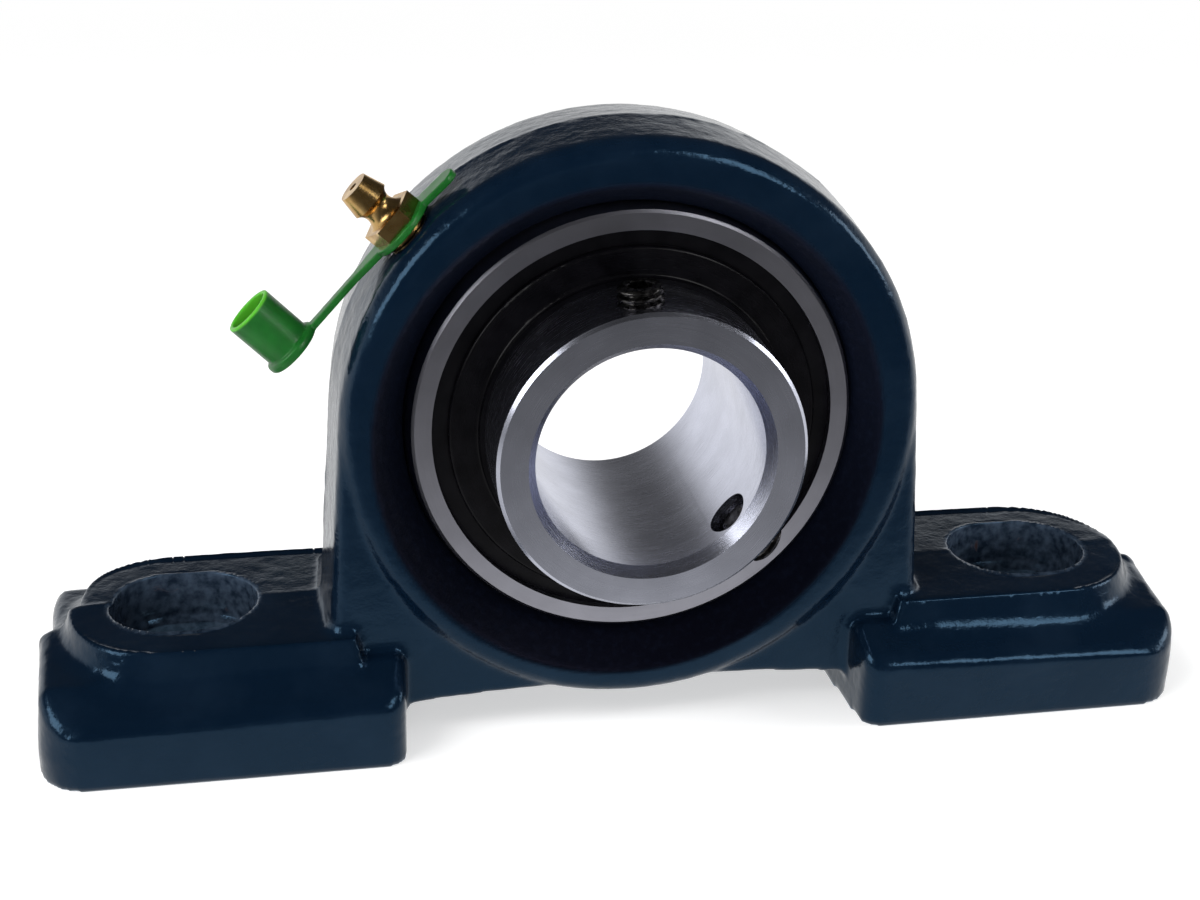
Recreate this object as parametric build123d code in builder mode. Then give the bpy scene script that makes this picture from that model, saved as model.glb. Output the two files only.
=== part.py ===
from build123d import *
import os
from math import cos, radians, sin, sqrt, tan

# Pillow block bearing: a cast housing on two slotted feet, with a self-aligning ball bearing insert.
# Millimetres and degrees. X runs along the base, Y along the shaft (the front is -Y), Z is up, and the
# origin is on the base face, straight below the middle of the seat.

# ---- Driving dimensions: housing ----
bore_height = 42.9              # base face to shaft centre
bolt_spacing = 121.0
foot_end_overhang = 20.2        # bolt centre to the end of the foot, at the parting plane
base_width = 40.4               # along the shaft
crown_thickness = 8.8           # iron over the top of the seat
slot_width = 17.0
slot_length = 20.0
draft = 4.5                     # casting draft, away from the parting plane at Y = 0
foot_inner_end = 30.3           # where a foot stops under the body, at the parting plane
foot_height_inner = 14.4
foot_height_outer = 13.2
foot_corner_radius = 6.8
foot_inner_corner_radius = 3.0
foot_edge_radius = 1.8
boss_height = 16.7              # boss top above the base face
boss_half_width = 14.2
boss_end_overhang = 15.8        # boss end beyond the bolt centre
boss_draft = 14.0
boss_edge_radius = 1.0
boss_root_radius = 1.1
wall_half_depth = 11.6          # body's half thickness at the shaft centre
wall_slope = 0.02               # how much thicker the body gets for each millimetre down
wall_flare = 4.1                # angle of the side walls, wider towards the feet
wall_edge_radius = 2.0
wall_root_radius = 1.5          # where the side walls meet the bosses
barrel_thickness = 8.5          # round barrel about the seat, at the parting plane
barrel_half_depth = 12.6        # its half thickness at the shaft centre
barrel_slope = 0.03
barrel_edge_radius = 2.4
arch_foot_height = 4.6          # underside of the web beside each foot
arch_crown_height = 6.2
arch_corner_radius = 2.5         # where the underside of the web meets a foot
seat_clearance = 0.03           # radial, between the seat and the insert's sphere
recess_step = 0.7               # how far the conical recess stands outside the sphere at the ring's faces
recess_angle = 35.0             # half angle of that cone
core_shift = 0.8                # how far to the left of the seat the core that forms the recess lay
loading_clearance = 0.15        # each side of the insert in its loading slot
cut_over = 1.0                  # how far a cut runs on past the face that it opens

# ---- Driving dimensions: insert ----
shaft_diameter = 30.0
sphere_diameter = 62.0
outer_ring_chamfer = 0.3
inner_ring_front = 22.2         # ball centres to the long end
inner_ring_rear = 15.9
inner_ring_chamfer = 0.45
bore_chamfer_radial = 1.1
bore_chamfer_axial = 1.7
raceway_wall = 3.2375           # steel left behind each raceway; the balls fill the rest
ball_count = 9
groove_conformity = 0.52        # raceway radius over ball diameter
groove_depth = 0.2              # raceway depth over ball diameter
raceway_play = 0.02
seal_seat_step = 1.1            # seal seat outside the outer ring's bore
seal_seat_depth = 3.1

# ---- Driving dimensions: cage ----
cage_thickness = 0.7
cage_gap = 0.95                 # between the ribbon and each ring
cage_pocket_play = 0.1375
rivet_diameter = 1.6
rivet_head_diameter = 2.6
rivet_head_height = 0.5
rivet_play = 0.02

# ---- Driving dimensions: seals ----
shield_thickness = 0.6
shield_depth = 1.3              # from the ring's face in to the shield
shield_gap = 1.85               # between the shield and the inner ring
shield_rim_depth = 1.5          # width of the rim that is pressed into the seat
seal_seat_play = 0.03
lip_thickness = 1.6
lip_cage_gap = 0.4
lip_bond_width = 0.8            # how far the rubber laps onto the shield
lip_play = 0.05                 # between the lip and the inner ring
slinger_thickness = 0.6
slinger_gap = 2.2               # between the slinger and the bore of the seal seat
slinger_depth = 0.2             # from the ring's face in to the slinger
slinger_hub_length = 1.0        # collar on the inner ring, outside the flange
slinger_rim_length = 0.25
slinger_bend_radius = 0.5       # at the collar and at the outer edge
slinger_seat_play = 0.01

# ---- Driving dimensions: set screws ----
screw_diameter = 6.0
screw_length = 6.0
screw_from_end = 5.0            # hole centre to the inner ring's long end
screw_play = 0.03
screw_proud = 2.2               # outer end above the inner ring's surface
screw_socket = 3.0              # across flats
screw_socket_depth = 2.2
screw_cup_diameter = 3.0
screw_cup_depth = 0.6
screw_chamfer = 0.6
top_screw_angle = 94.0          # about the shaft, from +X towards +Z
screw_spacing = 135.0           # from the top screw round to the side screw

# ---- Driving dimensions: grease nipple and its passage ----
nipple_angle = 138.0            # about the shaft, from +X towards +Z
nipple_offset = 4.5             # towards the front, past the balls
nipple_thread = 6.0
nipple_thread_length = 6.5
nipple_thread_play = 0.03
nipple_hex = 7.0                # across flats
nipple_hex_height = 2.0
nipple_neck_diameter = 4.1
nipple_neck_length = 1.8
nipple_head_diameter = 5.5
nipple_tip_diameter = 4.3
nipple_head_length = 2.8
nipple_collar_length = 0.8      # slope from the neck out to the widest part of the head
nipple_inlet_diameter = 1.2
nipple_inlet_length = 0.5
nipple_chamber_diameter = 2.3
nipple_chamber_start = 1.2      # out from the casting's crown
nipple_outlet_diameter = 1.1
check_ball_diameter = 2.0
check_ball_play = 0.01
spring_diameter = 1.5           # to the middle of the wire
spring_wire = 0.3
spring_turns = 5
spring_play = 0.01
passage_diameter = 2.2
grease_groove_width = 3.0
grease_groove_depth = 0.8
grease_hole_diameter = 1.2

# ---- Driving dimensions: dust cap ----
strap_thickness = 0.9
strap_width = 1.7
strap_root_width = 3.6
strap_ring_diameter = 9.2
strap_ring_play = 0.1
strap_lift = 0.06               # between the ring and the top of the casting
strap_reach = 21.2              # nipple to the middle of the cup
cap_lean = 3.0                  # how far the cup leans back towards the nipple
tab_reach = 11.0                # nipple to the end of the pull tab
tab_width = 3.6
cup_diameter = 6.8
cup_length = 6.8
cup_wall = 0.6
cup_base_diameter = 8.0
cup_base_thickness = 1.3
cup_base_radius = 0.9

# ---- Places that follow from them ----
seat_centre = (0, 0, bore_height)
shaft_axis = Axis(seat_centre, (0, 1, 0))
core_centre = (-core_shift, 0, bore_height)
core_axis = Axis(core_centre, (0, 1, 0))
# Sections are drawn as (along the shaft, out from the shaft) and turned about the shaft.
shaft_section = Plane(origin=seat_centre, x_dir=(0, 1, 0), z_dir=(1, 0, 0))
# Seen from the front, with X to the right and Z up.
front_view = Plane(origin=seat_centre, x_dir=(1, 0, 0), z_dir=(0, -1, 0))

sphere_radius = sphere_diameter / 2
bore_radius = shaft_diameter / 2
pitch_radius = (bore_radius + sphere_radius) / 2
ball_diameter = sphere_radius - bore_radius - 2 * raceway_wall
ball_radius = ball_diameter / 2
groove_radius = ball_diameter * groove_conformity
inner_radius = pitch_radius - ball_radius + ball_diameter * groove_depth
shoulder_radius = pitch_radius + ball_radius - ball_diameter * groove_depth
pocket_radius = ball_radius + cage_pocket_play
# The outer ring is as wide as the cage, the lips and the shields inside it need.
shield_face = pocket_radius + cage_thickness + lip_cage_gap + lip_thickness + shield_thickness
ring_half = shield_face + shield_depth
seal_seat_radius = shoulder_radius + seal_seat_step
seat_radius = sphere_radius + seat_clearance
crown_radius = sphere_radius + crown_thickness
barrel_radius = sphere_radius + barrel_thickness
recess_radius = sphere_radius + recess_step
foot_end = bolt_spacing / 2 + foot_end_overhang
casting_half_depth = base_width / 2
boss_end = bolt_spacing / 2 + boss_end_overhang
boss_start = crown_radius - wall_edge_radius

nipple_out = Vector(cos(radians(nipple_angle)), 0, sin(radians(nipple_angle)))
nipple_down = Vector(-nipple_out.Z, 0, nipple_out.X)
nipple_base = Vector(0, -nipple_offset, bore_height) + nipple_out * (crown_radius + strap_lift)
nipple_axis = Axis(nipple_base, nipple_out)
# Drawn as (off the nipple's axis, out along it).
nipple_section = Plane(origin=nipple_base, x_dir=(0, 1, 0), z_dir=Vector(0, 1, 0).cross(nipple_out))
strap_plane = Plane(origin=nipple_base, x_dir=nipple_down, z_dir=nipple_out)


def side_profile(half_depth, slope):
    """A form seen along the base: two faces that lean apart towards the bottom."""
    top = crown_radius + wall_edge_radius
    bottom = -bore_height
    top_depth = half_depth - slope * top
    bottom_depth = half_depth - slope * bottom
    Polygon((-top_depth, top), (top_depth, top), (bottom_depth, bottom), (-bottom_depth, bottom), align=None)


# ---- Casting, main form 1: tombstone walls with the web between the feet ----
with BuildPart() as walls:
    with BuildSketch(front_view):
        # The side walls spread into the bosses with a radius at their roots.
        flare_x = crown_radius * cos(radians(wall_flare))
        flare_z = crown_radius * sin(radians(wall_flare))
        boss_top = boss_height - bore_height
        foot_x = flare_x + (flare_z - boss_top) * tan(radians(wall_flare))
        toe_x = foot_x + wall_root_radius + 2 * wall_edge_radius
        with BuildLine():
            crown = ThreePointArc((-flare_x, flare_z), (0, crown_radius), (flare_x, flare_z))
            FilletPolyline(crown @ 1, (foot_x, boss_top), (toe_x, boss_top), radius=wall_root_radius)
            Polyline(
                (toe_x, boss_top),
                (toe_x, -bore_height),
                (-toe_x, -bore_height),
                (-toe_x, boss_top),
            )
            FilletPolyline((-toe_x, boss_top), (-foot_x, boss_top), crown @ 0, radius=wall_root_radius)
        make_face()
    extrude(amount=casting_half_depth, both=True, taper=draft)
    with BuildSketch(shaft_section):
        side_profile(wall_half_depth, wall_slope)
    extrude(amount=bolt_spacing, both=True, mode=Mode.INTERSECT)
    front_rim = walls.faces().sort_by(Axis.Y)[0].edges()
    back_rim = walls.faces().sort_by(Axis.Y)[-1].edges()
    fillet(front_rim + back_rim, radius=wall_edge_radius)
    # Arch under the web, from foot to foot. Its corners run a little way into the feet.
    with BuildSketch(Plane.XZ) as arch_outline:
        arch_end = foot_inner_end + casting_half_depth * tan(radians(draft))
        with BuildLine():
            arch = ThreePointArc(
                (-arch_end, arch_foot_height), (0, arch_crown_height), (arch_end, arch_foot_height)
            )
            Polyline(arch @ 1, (arch_end, -cut_over), (-arch_end, -cut_over), arch @ 0)
        make_face()
        fillet(arch_outline.vertices().sort_by(Axis.Y)[-2:], radius=arch_corner_radius)
    extrude(amount=base_width, both=True, mode=Mode.SUBTRACT)

# ---- Casting, main form 2: round barrel about the insert ----
with BuildPart() as barrel:
    with BuildSketch(front_view):
        Circle(barrel_radius)
    extrude(amount=casting_half_depth, both=True, taper=draft)
    with BuildSketch(shaft_section):
        side_profile(barrel_half_depth, barrel_slope)
    extrude(amount=bolt_spacing, both=True, mode=Mode.INTERSECT)
    barrel_faces = barrel.faces().filter_by(GeomType.PLANE).sort_by(Axis.Y)
    fillet(barrel_faces[0].edges() + barrel_faces[-1].edges(), radius=barrel_edge_radius)

# ---- Casting, main form 3: the right foot, with its raised boss round the bolt slot ----
with BuildPart() as foot:
    with BuildSketch(Plane.XZ):
        Polygon(
            (foot_inner_end, -base_width),
            (foot_end, -base_width),
            (foot_end, foot_height_outer),
            (foot_inner_end, foot_height_inner),
            align=None,
        )
    extrude(amount=casting_half_depth, both=True, taper=draft)
    split(bisect_by=Plane.XY, keep=Keep.TOP)
    upright = foot.edges().filter_by(lambda e: abs(e.tangent_at(0.5).Z) > 0.9 and abs(e.center().Y) > 1)
    fillet(upright.sort_by(Axis.X)[-2:], radius=foot_corner_radius)
    fillet(upright.sort_by(Axis.X)[:2], radius=foot_inner_corner_radius)
    top_edges = foot.faces().filter_by(lambda f: f.normal_at().Z > 0.9).edges()
    fillet(top_edges.filter_by(lambda e: e.length < base_width), radius=foot_edge_radius)
    with BuildSketch(Plane.XY.offset(boss_height)):
        with Locations((boss_end - boss_half_width, 0)):
            Circle(boss_half_width)
        with Locations(((boss_start + boss_end - boss_half_width) / 2, 0)):
            Rectangle(boss_end - boss_half_width - boss_start, 2 * boss_half_width)
    extrude(amount=-boss_height / 2, taper=-boss_draft)
    boss_root = foot.edges().filter_by(
        lambda e: boss_start < e.center().X and foot_height_inner > e.center().Z > foot_height_outer / 2
        and abs(e.center().Y) < boss_half_width + foot_edge_radius
    )
    fillet(boss_root.filter_by(lambda e: e.length > boss_half_width), radius=boss_root_radius)
    boss_rim = foot.faces().sort_by(Axis.Z)[-1].edges()
    fillet(boss_rim.filter_by(lambda e: e.center().X > boss_start + boss_edge_radius), radius=boss_edge_radius)

# ---- housing: one casting, then its machined seat, slots and grease passage ----
with BuildPart() as housing:
    add(walls.part)
    add(barrel.part)
    add(foot.part)
    mirror(foot.part, about=Plane.YZ)
    # Undersides machined flat, then slots for the holding-down bolts.
    split(bisect_by=Plane.XY, keep=Keep.TOP)
    with BuildSketch(Plane.XY):
        with Locations((-bolt_spacing / 2, 0), (bolt_spacing / 2, 0)):
            SlotOverall(slot_length, slot_width)
    extrude(amount=bore_height, mode=Mode.SUBTRACT)
    # Spherical seat, opening out in a cone at both faces. The seat is machined and the cone is cored.
    with Locations(seat_centre):
        Sphere(seat_radius, mode=Mode.SUBTRACT)
    with BuildSketch(Plane(origin=core_centre, x_dir=(0, 1, 0), z_dir=(1, 0, 0))):
        cone_rise = tan(radians(recess_angle))
        Polygon(
            (-base_width, 0),
            (-base_width, recess_radius + (base_width - ring_half) * cone_rise),
            (0, recess_radius - ring_half * cone_rise),
            (base_width, recess_radius + (base_width - ring_half) * cone_rise),
            (base_width, 0),
            align=None,
        )
    revolve(axis=core_axis, mode=Mode.SUBTRACT)
    # Loading slots in the back half, where the insert goes in edge on before it is swung into line.
    with BuildSketch(front_view):
        Rectangle(2 * (seat_radius + loading_clearance), 2 * (ring_half + loading_clearance))
    extrude(amount=-base_width, mode=Mode.SUBTRACT)
    # Tapped hole for the nipple, and the passage on to the seat.
    nipple_bore = Plane(origin=nipple_base, z_dir=-nipple_out)
    with BuildSketch(nipple_bore):
        Circle(nipple_thread / 2 + nipple_thread_play)
    extrude(amount=nipple_thread_length + nipple_thread_play, mode=Mode.SUBTRACT)
    with BuildSketch(nipple_bore):
        Circle(passage_diameter / 2)
    extrude(amount=crown_radius - sphere_radius + passage_diameter, mode=Mode.SUBTRACT)
housing.part.label = "housing"

# ---- outer_ring: sphere outside, ball raceway and seal seats inside ----
outer_groove_centre = pitch_radius + ball_radius + raceway_play - groove_radius
with BuildPart() as outer_ring:
    with BuildSketch(shaft_section):
        with BuildLine():
            face_radius = sqrt(sphere_radius**2 - ring_half**2)
            outside = ThreePointArc((-ring_half, face_radius), (0, sphere_radius), (ring_half, face_radius))
            Polyline(
                outside @ 1,
                (ring_half, seal_seat_radius),
                (ring_half - seal_seat_depth, seal_seat_radius),
                (ring_half - seal_seat_depth, shoulder_radius),
                (seal_seat_depth - ring_half, shoulder_radius),
                (seal_seat_depth - ring_half, seal_seat_radius),
                (-ring_half, seal_seat_radius),
                outside @ 0,
            )
        make_face()
        with Locations((0, outer_groove_centre)):
            Circle(groove_radius, mode=Mode.SUBTRACT)
        with Locations((-nipple_offset, sphere_radius)):
            Rectangle(grease_groove_width, 2 * grease_groove_depth, mode=Mode.SUBTRACT)
    revolve(axis=shaft_axis)
    for face in (outer_ring.faces().sort_by(Axis.Y)[0], outer_ring.faces().sort_by(Axis.Y)[-1]):
        chamfer(face.edges().sort_by(SortBy.LENGTH)[-1], length=outer_ring_chamfer)
    # Two grease holes in line across the ring, from the groove to beside the balls.
    with BuildSketch(Plane(origin=(0, -nipple_offset, bore_height), z_dir=nipple_out)):
        Circle(grease_hole_diameter / 2)
    extrude(amount=sphere_radius, both=True, mode=Mode.SUBTRACT)
outer_ring.part.label = "outer_ring"

# ---- inner_ring: ball raceway outside, shaft bore inside, two tapped holes in the long end ----
inner_groove_centre = pitch_radius - ball_radius - raceway_play + groove_radius
screw_centre = (0, screw_from_end - inner_ring_front, bore_height)
screw_planes = [
    Plane(origin=screw_centre, x_dir=(0, 1, 0), z_dir=(cos(radians(angle)), 0, sin(radians(angle))))
    for angle in (top_screw_angle, top_screw_angle - screw_spacing)
]
with BuildPart() as inner_ring:
    with BuildSketch(shaft_section):
        Polygon(
            (-inner_ring_front, bore_radius + bore_chamfer_radial),
            (-inner_ring_front, inner_radius - inner_ring_chamfer),
            (inner_ring_chamfer - inner_ring_front, inner_radius),
            (inner_ring_rear - inner_ring_chamfer, inner_radius),
            (inner_ring_rear, inner_radius - inner_ring_chamfer),
            (inner_ring_rear, bore_radius + bore_chamfer_radial),
            (inner_ring_rear - bore_chamfer_axial, bore_radius),
            (bore_chamfer_axial - inner_ring_front, bore_radius),
            align=None,
        )
        with Locations((0, inner_groove_centre)):
            Circle(groove_radius, mode=Mode.SUBTRACT)
    revolve(axis=shaft_axis)
    for plane in screw_planes:
        with BuildSketch(plane):
            Circle(screw_diameter / 2 + screw_play)
        extrude(amount=inner_radius + cut_over, mode=Mode.SUBTRACT)
inner_ring.part.label = "inner_ring"

# ---- set_screw_top and set_screw_side: hexagon sockets outside, cup points towards the shaft ----
screws = []
for plane in screw_planes:
    with BuildPart() as screw:
        with BuildSketch(plane.offset(inner_radius + screw_proud)):
            Circle(screw_diameter / 2)
        extrude(amount=-screw_length)
        ends = screw.edges().filter_by(GeomType.CIRCLE).sort_by_distance(screw_centre)
        chamfer(ends[0], length=screw_chamfer)
        chamfer(ends[-1], length=screw_chamfer / 2)
        with BuildSketch(plane.offset(inner_radius + screw_proud)):
            RegularPolygon(screw_socket / 2, 6, major_radius=False)
        extrude(amount=-screw_socket_depth, mode=Mode.SUBTRACT)
        with BuildSketch(plane.offset(inner_radius + screw_proud - screw_length)):
            Circle(screw_cup_diameter / 2)
        extrude(amount=screw_cup_depth, taper=45, mode=Mode.SUBTRACT)
    screws.append(screw.part)
screws[0].label = "set_screw_top"
screws[1].label = "set_screw_side"

# ---- ball_1 to ball_9 ----
ball_pitch = 360 / ball_count
balls = []
for number in range(ball_count):
    turn = radians(ball_pitch * number)
    with BuildPart(front_view) as ball:
        with Locations((pitch_radius * cos(turn), pitch_radius * sin(turn))):
            Sphere(ball_radius)
    ball.part.label = f"ball_{number + 1}"
    balls.append(ball.part)

# ---- cage_front and cage_rear: pressed ribbons that cup the balls from both sides ----
with BuildPart(front_view) as cage_front:
    with BuildSketch(front_view) as ribbon:
        Circle(shoulder_radius - cage_gap)
        Circle(inner_radius + cage_gap, mode=Mode.SUBTRACT)
    extrude(amount=cage_thickness)
    with PolarLocations(pitch_radius, ball_count):
        Sphere(pocket_radius + cage_thickness)
    extrude(ribbon.sketch, amount=pocket_radius + cage_thickness, mode=Mode.INTERSECT)
    with PolarLocations(pitch_radius, ball_count):
        Sphere(pocket_radius, mode=Mode.SUBTRACT)
    with PolarLocations(pitch_radius, ball_count, start_angle=ball_pitch / 2):
        Hole(rivet_diameter / 2 + rivet_play)
cage_front.part.label = "cage_front"

middle_plane = Plane(origin=seat_centre, z_dir=(0, 1, 0))
with BuildPart() as cage_rear:
    mirror(cage_front.part, about=middle_plane)
cage_rear.part.label = "cage_rear"

# ---- cage_rivets: one between each pair of balls ----
with BuildPart(front_view) as cage_rivets:
    with PolarLocations(pitch_radius, ball_count, start_angle=ball_pitch / 2):
        Cylinder(rivet_diameter / 2, 2 * cage_thickness + 2 * rivet_head_height)
    for side in (1, -1):
        with BuildSketch(front_view.offset(side * cage_thickness)):
            with PolarLocations(pitch_radius, ball_count, start_angle=ball_pitch / 2):
                Circle(rivet_head_diameter / 2)
        extrude(amount=side * rivet_head_height)
cage_rivets.part.label = "cage_rivets"

# ---- seal_shield_front and seal_shield_rear: pressed steel, held in the outer ring ----
shield_inner_radius = inner_radius + shield_gap
with BuildPart() as seal_shield_front:
    with BuildSketch(shaft_section):
        rim_radius = seal_seat_radius - seal_seat_play
        Polygon(
            (-shield_face, shield_inner_radius),
            (-shield_face, rim_radius),
            (shield_rim_depth - shield_face, rim_radius),
            (shield_rim_depth - shield_face, rim_radius - shield_thickness),
            (shield_thickness - shield_face, rim_radius - shield_thickness),
            (shield_thickness - shield_face, shield_inner_radius),
            align=None,
        )
    revolve(axis=shaft_axis)
seal_shield_front.part.label = "seal_shield_front"
with BuildPart() as seal_shield_rear:
    mirror(seal_shield_front.part, about=middle_plane)
seal_shield_rear.part.label = "seal_shield_rear"

# ---- seal_lip_front and seal_lip_rear: rubber bonded inside the shields, lip on the inner ring ----
with BuildPart() as seal_lip_front:
    with BuildSketch(shaft_section):
        lip_face = shield_face - shield_thickness
        lip_radius = inner_radius + lip_play
        Polygon(
            (-lip_face, shield_inner_radius + lip_bond_width),
            (lip_thickness - lip_face, shield_inner_radius + lip_bond_width),
            (lip_thickness - lip_face, lip_radius + lip_thickness / 2),
            (lip_thickness / 2 - lip_face, lip_radius),
            (-lip_face, lip_radius + lip_thickness / 4),
            align=None,
        )
    revolve(axis=shaft_axis)
seal_lip_front.part.label = "seal_lip_front"
with BuildPart() as seal_lip_rear:
    mirror(seal_lip_front.part, about=middle_plane)
seal_lip_rear.part.label = "seal_lip_rear"

# ---- slinger_front and slinger_rear: pressed steel flingers on the inner ring, outside the shields ----
with BuildPart() as slinger_front:
    with BuildSketch(shaft_section) as slinger_outline:
        flange = ring_half - slinger_depth
        slinger_radius = seal_seat_radius - slinger_gap
        hub_radius = inner_radius + slinger_seat_play
        collar_bend = (-flange, hub_radius + slinger_thickness)
        rim_bend = (-flange, slinger_radius)
        Polygon(
            (slinger_thickness - flange, hub_radius),
            (-flange - slinger_hub_length, hub_radius),
            (-flange - slinger_hub_length, hub_radius + slinger_thickness),
            collar_bend,
            rim_bend,
            (slinger_thickness + slinger_rim_length - flange, slinger_radius),
            (slinger_thickness + slinger_rim_length - flange, slinger_radius - slinger_thickness),
            (slinger_thickness - flange, slinger_radius - slinger_thickness),
            align=None,
        )
        for bend in (collar_bend, rim_bend):
            fillet(slinger_outline.vertices().sort_by_distance(bend)[0], radius=slinger_bend_radius)
    revolve(axis=shaft_axis)
slinger_front.part.label = "slinger_front"
with BuildPart() as slinger_rear:
    mirror(slinger_front.part, about=middle_plane)
slinger_rear.part.label = "slinger_rear"

# ---- nipple_body: brass, screwed in over the dust cap's ring ----
hex_top = strap_thickness + nipple_hex_height
collar_top = hex_top + nipple_neck_length + nipple_collar_length
tip = collar_top + nipple_head_length
chamber_radius = nipple_chamber_diameter / 2
inlet_radius = nipple_inlet_diameter / 2
seat_top = tip - nipple_inlet_length
seat_bottom = seat_top - (chamber_radius - inlet_radius)
with BuildPart() as nipple_body:
    with BuildSketch(nipple_section):
        with BuildLine():
            neck = ThreePointArc(
                (nipple_neck_diameter / 2 + nipple_collar_length, hex_top),
                (nipple_neck_diameter / 2, hex_top + nipple_neck_length * 0.6),
                (nipple_head_diameter / 2, collar_top),
            )
            Polyline(
                neck @ 1,
                (nipple_tip_diameter / 2, tip),
                (0, tip),
                (0, -nipple_thread_length),
                (nipple_thread / 2, -nipple_thread_length),
                (nipple_thread / 2, hex_top),
                neck @ 0,
            )
        make_face()
    revolve(axis=nipple_axis)
    with BuildSketch(strap_plane.offset(strap_thickness)):
        RegularPolygon(nipple_hex / 2, 6, major_radius=False)
    extrude(amount=nipple_hex_height)
    # Inlet, seat of the check ball, spring chamber and outlet.
    with BuildSketch(nipple_section):
        Polygon(
            (0, tip),
            (inlet_radius, tip),
            (inlet_radius, seat_top),
            (chamber_radius, seat_bottom),
            (chamber_radius, nipple_chamber_start),
            (nipple_outlet_diameter / 2, nipple_chamber_start),
            (nipple_outlet_diameter / 2, -nipple_thread_length),
            (0, -nipple_thread_length),
            align=None,
        )
    revolve(axis=nipple_axis, mode=Mode.SUBTRACT)
nipple_body.part.label = "nipple_body"

# ---- nipple_ball and nipple_spring ----
check_ball_radius = check_ball_diameter / 2
check_ball_place = seat_bottom + chamber_radius - (check_ball_radius + check_ball_play) * sqrt(2)
with BuildPart(strap_plane) as nipple_ball:
    with Locations((0, 0, check_ball_place)):
        Sphere(check_ball_radius)
nipple_ball.part.label = "nipple_ball"

spring_reach = check_ball_radius + spring_wire / 2 + spring_play
spring_top = check_ball_place - sqrt(spring_reach**2 - (spring_diameter / 2) ** 2)
spring_bottom = nipple_chamber_start + spring_wire / 2 + spring_play
with BuildPart() as nipple_spring:
    spring_height = spring_top - spring_bottom
    coil = Helix(
        pitch=spring_height / spring_turns,
        height=spring_height,
        radius=spring_diameter / 2,
        center=nipple_base + nipple_out * spring_bottom,
        direction=nipple_out,
        mode=Mode.PRIVATE,
    )
    with BuildSketch(Plane(origin=coil @ 0, z_dir=coil % 0)):
        Circle(spring_wire / 2)
    sweep(path=coil)
nipple_spring.part.label = "nipple_spring"

# ---- dust_cap: one soft moulding, that is ring, pull tab, strap and cup ----
cup_lean = radians(cap_lean)
cup_out = nipple_out * cos(cup_lean) - nipple_down * sin(cup_lean)
cup_along = nipple_down * cos(cup_lean) + nipple_out * sin(cup_lean)
cup_plane = Plane(origin=nipple_base + nipple_down * strap_reach, x_dir=cup_along, z_dir=cup_out)
with BuildPart() as dust_cap:
    with BuildSketch(cup_plane):
        Circle(cup_base_diameter / 2)
    extrude(amount=cup_base_thickness)
    fillet(dust_cap.edges(), radius=cup_base_radius / 2)
    with BuildSketch(cup_plane.offset(cup_base_thickness / 2)):
        Circle(cup_diameter / 2)
    extrude(amount=cup_base_thickness / 2 + cup_length)
    with BuildSketch(cup_plane.offset(cup_base_thickness)):
        Circle(cup_diameter / 2 - cup_wall)
    extrude(amount=cup_length, mode=Mode.SUBTRACT)
    with BuildSketch(strap_plane):
        Circle(strap_ring_diameter / 2)
        with Locations(((tab_width / 2 - tab_reach) / 2, 0)):
            Rectangle(tab_reach - tab_width / 2, tab_width)
        with Locations((tab_width / 2 - tab_reach, 0)):
            Circle(tab_width / 2)
        Polygon(
            (0, -strap_root_width / 2),
            (strap_ring_diameter / 2, -strap_root_width / 2),
            (strap_ring_diameter, -strap_width / 2),
            (strap_reach - cup_base_diameter / 4, -strap_width / 2),
            (strap_reach - cup_base_diameter / 4, strap_width / 2),
            (strap_ring_diameter, strap_width / 2),
            (strap_ring_diameter / 2, strap_root_width / 2),
            (0, strap_root_width / 2),
            align=None,
        )
        Circle(nipple_thread / 2 + strap_ring_play, mode=Mode.SUBTRACT)
    extrude(amount=strap_thickness)
dust_cap.part.label = "dust_cap"

# ---- Write each piece ----
os.makedirs("parts", exist_ok=True)
pieces = [
    housing.part,
    outer_ring.part,
    inner_ring.part,
    *screws,
    *balls,
    cage_front.part,
    cage_rear.part,
    cage_rivets.part,
    seal_shield_front.part,
    seal_shield_rear.part,
    seal_lip_front.part,
    seal_lip_rear.part,
    slinger_front.part,
    slinger_rear.part,
    nipple_body.part,
    nipple_ball.part,
    nipple_spring.part,
    dust_cap.part,
]
for piece in pieces:
    export_step(piece, f"parts/{piece.label}.step")
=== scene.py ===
import bmesh
import bpy
from math import cos, hypot, pi, radians, sin, tan
from mathutils import Matrix, Vector, noise


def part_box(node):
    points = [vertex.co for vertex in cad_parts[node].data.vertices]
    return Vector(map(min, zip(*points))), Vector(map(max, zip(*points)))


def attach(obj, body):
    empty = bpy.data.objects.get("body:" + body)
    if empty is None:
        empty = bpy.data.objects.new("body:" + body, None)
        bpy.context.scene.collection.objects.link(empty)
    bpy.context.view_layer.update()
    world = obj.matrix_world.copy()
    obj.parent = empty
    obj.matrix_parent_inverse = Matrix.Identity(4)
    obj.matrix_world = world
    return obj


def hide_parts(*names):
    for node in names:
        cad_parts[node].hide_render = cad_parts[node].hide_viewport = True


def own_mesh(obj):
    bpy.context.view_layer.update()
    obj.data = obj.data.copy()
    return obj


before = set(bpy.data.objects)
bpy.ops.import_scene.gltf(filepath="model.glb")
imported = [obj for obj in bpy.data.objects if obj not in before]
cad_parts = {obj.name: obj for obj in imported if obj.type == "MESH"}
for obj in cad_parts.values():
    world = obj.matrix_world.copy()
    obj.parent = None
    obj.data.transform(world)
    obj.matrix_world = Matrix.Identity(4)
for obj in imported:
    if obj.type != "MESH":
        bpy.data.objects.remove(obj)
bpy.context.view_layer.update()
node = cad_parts

# ---- Housing ----
# The housing is one sand casting in grey iron. Its two mould halves met along the middle, and left a
# thin ridge of flash there, with the feet banked down from it on both sides. It was sprayed all over
# with dark blue gloss enamel, and the slots took little paint. The cored recess about the insert is
# coloured with painted shade, darker than the face and darkest at its bottom.
mm = 0.001
shaft_height = 42.9 * mm
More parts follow.
